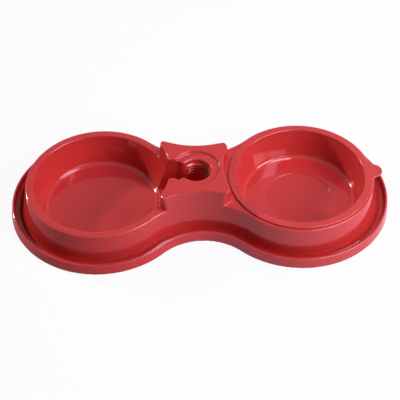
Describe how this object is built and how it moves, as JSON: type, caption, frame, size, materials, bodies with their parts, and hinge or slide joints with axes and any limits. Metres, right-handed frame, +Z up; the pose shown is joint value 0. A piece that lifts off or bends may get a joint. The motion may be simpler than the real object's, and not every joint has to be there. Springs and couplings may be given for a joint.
{
  "type": "double pet bowl",
  "caption": "Double pet bowl: a moated base with a fixed water bowl fed by an upturned bottle, and a food bowl that lifts out.",
  "frame": {"origin": "on the table, under the middle of the object, halfway between the two bowls", "axes": "+X runs along the object from the water bowl to the food bowl, and +Z points up"},
  "size_m": [0.3722, 0.1782, 0.0487],
  "materials": {
    "base_red": "glossy injection-moulded red plastic, worn a little at the rims",
    "bowl_red": "glossy injection-moulded red plastic, a shade lighter than the base"
  },
  "bodies": {
    "base": {"moat_floor_left": "base_red", "moat_floor_right": "base_red", "moat_floor_front": "base_red", "moat_floor_back": "base_red", "moat_wall_left": "base_red", "moat_wall_right": "base_red", "moat_wall_front": "base_red", "moat_wall_back": "base_red", "skirt_left": "base_red", "skirt_right": "base_red", "skirt_front": "base_red", "skirt_back": "base_red", "water_rim": "base_red", "food_rim": "base_red", "middle_deck": "base_red", "water_bowl": "base_red", "bottle_block": "base_red", "neck_thread": "base_red", "bowl_seat": "base_red"},
    "lift_out_bowl": {"food_bowl": "bowl_red", "lift_tab": "bowl_red"}
  },
  "joints": [
    {"name": "bowl_lift", "type": "slide", "parent": "base", "child": "lift_out_bowl", "axis": [0, 0, 1], "range_m": [0, 0.05]}
  ]
}
